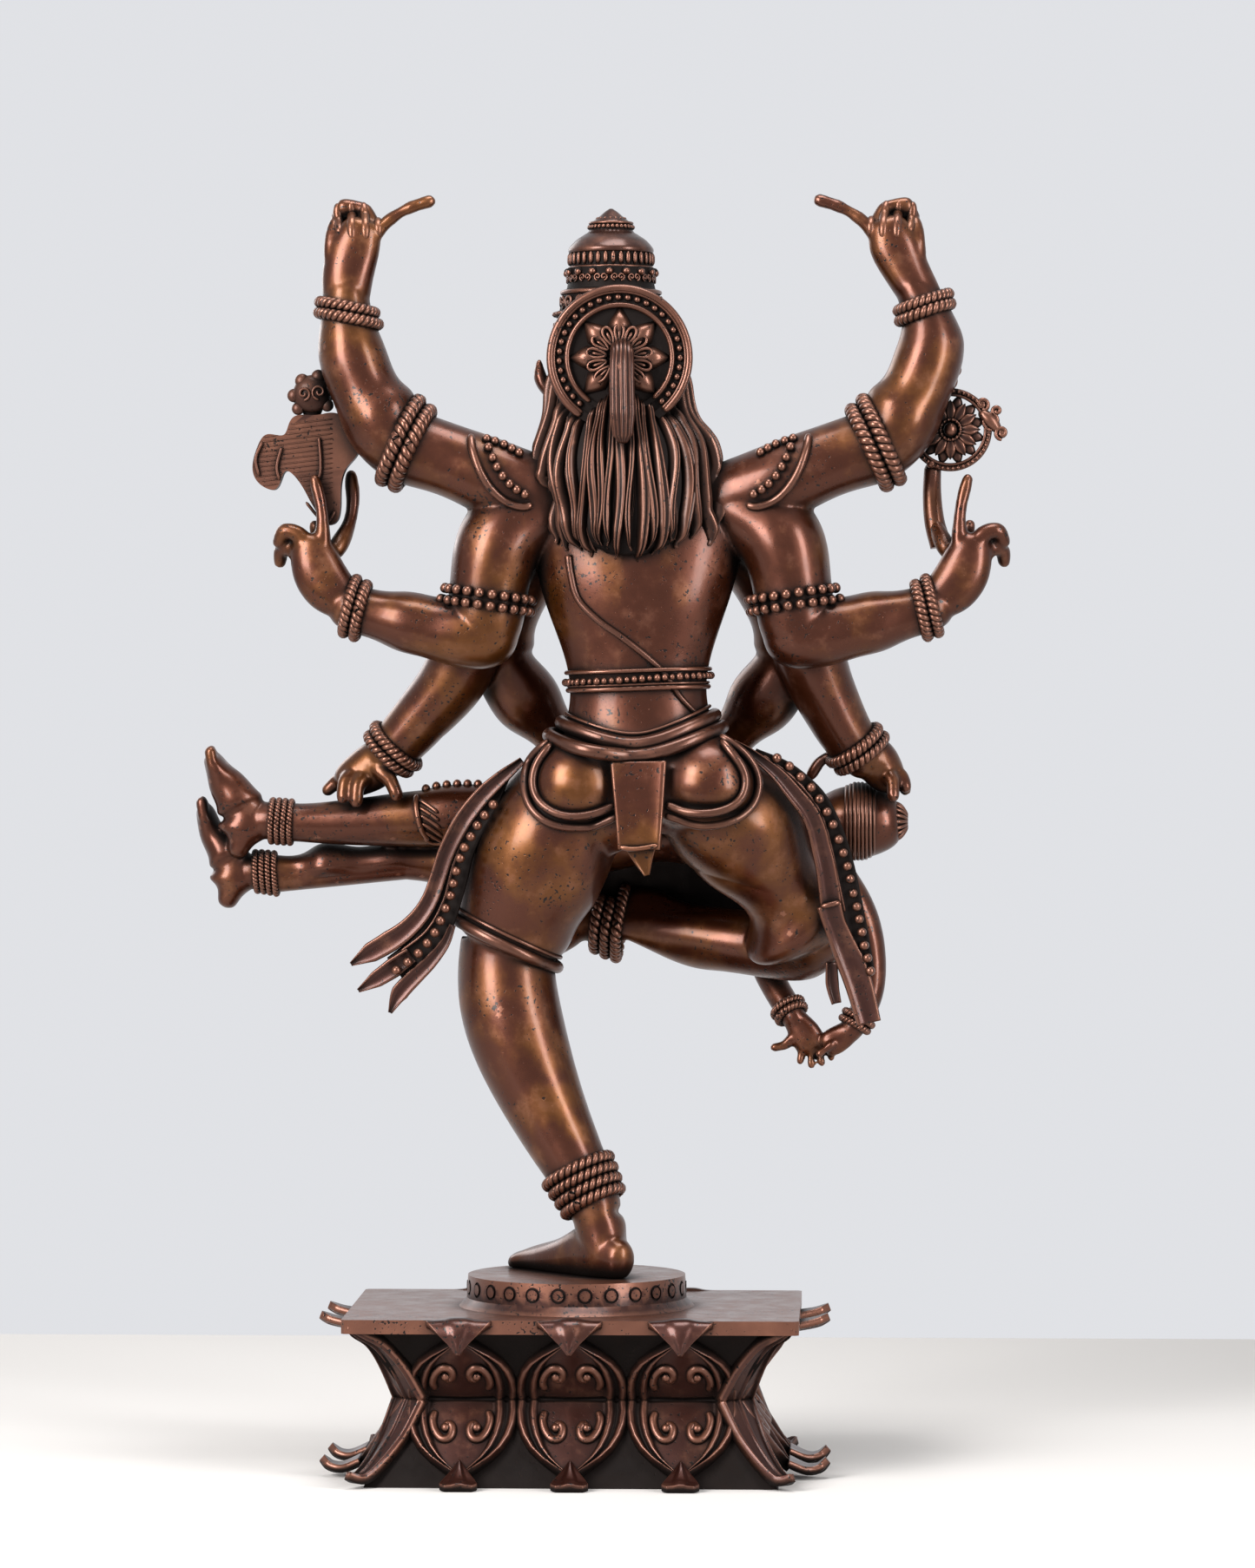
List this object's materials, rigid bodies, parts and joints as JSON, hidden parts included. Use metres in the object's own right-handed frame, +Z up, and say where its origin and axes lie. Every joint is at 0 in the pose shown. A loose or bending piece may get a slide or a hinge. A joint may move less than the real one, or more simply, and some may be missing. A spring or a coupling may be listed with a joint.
{
  "type": "brass deity statue",
  "caption": "Cast brass figure of an eight-armed lion-faced deity with a demon across its raised thigh, on a lotus pedestal.",
  "frame": {"origin": "middle of the pedestal's flat underside", "axes": "+Z up, +Y the way the deity faces, +X towards its right hand's side, so its back faces -Y"},
  "size_m": [0.2032, 0.0929, 0.3136],
  "materials": {
    "figure_brass": "dark antique patina, polished on broad surfaces",
    "ornament_brass": "dark antique patina with worn copper-coloured edges",
    "pedestal_brass": "dark antique patina, brown-black in the hollows",
    "fixing_brass": "plain turned brass"
  },
  "bodies": {
    "root": {"plinth_shell": "pedestal_brass", "top_slab": "pedestal_brass", "round_dais": "pedestal_brass", "upper_petals": "pedestal_brass", "lower_petals": "pedestal_brass", "corner_leaves": "pedestal_brass", "foot_stud": "fixing_brass", "stud_washer": "fixing_brass", "stud_nut": "fixing_brass", "torso": "figure_brass", "hips": "figure_brass", "standing_thigh": "figure_brass", "standing_shin": "figure_brass", "standing_foot": "figure_brass", "raised_thigh": "figure_brass", "raised_shin": "figure_brass", "raised_foot": "figure_brass", "raised_arm_left": "figure_brass", "raised_arm_right": "figure_brass", "attribute_arm_left": "figure_brass", "attribute_arm_right": "figure_brass", "lower_arm_left": "figure_brass", "lower_arm_right": "figure_brass", "front_arm_left": "figure_brass", "front_arm_right": "figure_brass", "head": "figure_brass", "crown": "ornament_brass", "halo_ring": "ornament_brass", "halo_rays": "ornament_brass", "hair_tassel": "ornament_brass", "mane": "figure_brass", "anklets": "ornament_brass", "knee_band": "ornament_brass", "bangles": "ornament_brass", "elbow_ropes": "ornament_brass", "beaded_armlets": "ornament_brass", "epaulettes": "ornament_brass", "hip_girdle": "ornament_brass", "belly_band": "ornament_brass", "hip_swags": "ornament_brass", "loincloth_tail": "figure_brass", "front_apron": "figure_brass", "sacred_thread": "ornament_brass", "necklace": "ornament_brass", "conch": "ornament_brass", "discus": "ornament_brass", "sash_left": "figure_brass", "sash_right": "figure_brass", "sash_beads": "ornament_brass", "demon_trunk": "figure_brass", "demon_head": "figure_brass", "demon_crown": "ornament_brass", "demon_near_thigh": "figure_brass", "demon_far_thigh": "figure_brass", "demon_near_leg": "figure_brass", "demon_far_leg": "figure_brass", "demon_arm_left": "figure_brass", "demon_arm_right": "figure_brass", "demon_rings": "ornament_brass"}
  },
  "joints": []
}
